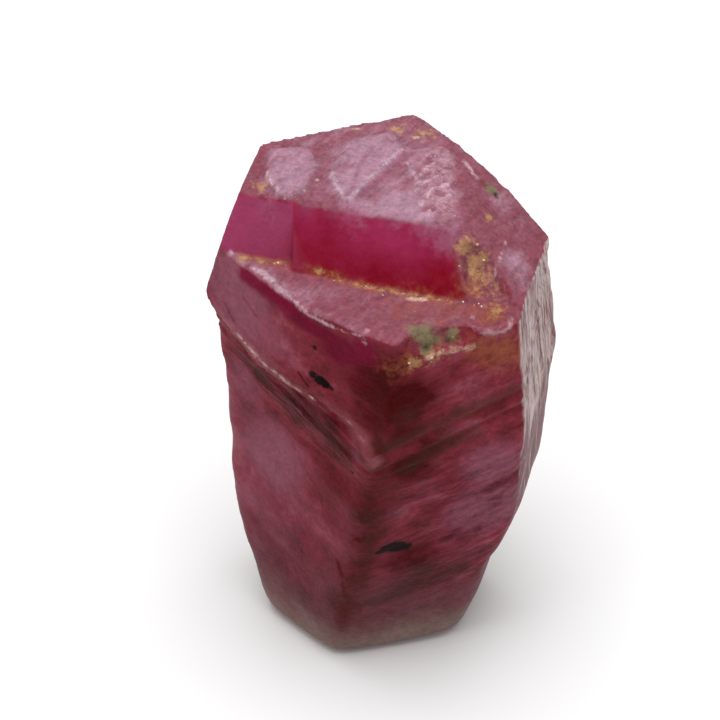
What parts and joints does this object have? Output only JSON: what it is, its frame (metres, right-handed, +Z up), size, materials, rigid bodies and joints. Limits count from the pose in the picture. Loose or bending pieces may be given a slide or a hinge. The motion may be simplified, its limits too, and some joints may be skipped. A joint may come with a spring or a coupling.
{
  "type": "raw ruby crystal",
  "caption": "Barrel-shaped six-sided raw ruby crystal standing on its broken foot, with a stepped upper end, oblique twin ledges and small crusts.",
  "frame": {"origin": "centre of the bounding box's bottom, on the flat broken foot", "axes": "+Z up along the crystal's long axis, -Y towards its best side, where two prism faces meet below the stepped ledge, +X to the right seen from there"},
  "size_m": [0.0098, 0.0084, 0.0148],
  "materials": {
    "raw_ruby": "translucent deep pinkish-red corundum, satin natural faces with frosted level parts, darker oblique bands and small rust, yellow and green-black mineral crusts"
  },
  "bodies": {
    "root": {"ruby_crystal": "raw_ruby"}
  },
  "joints": []
}
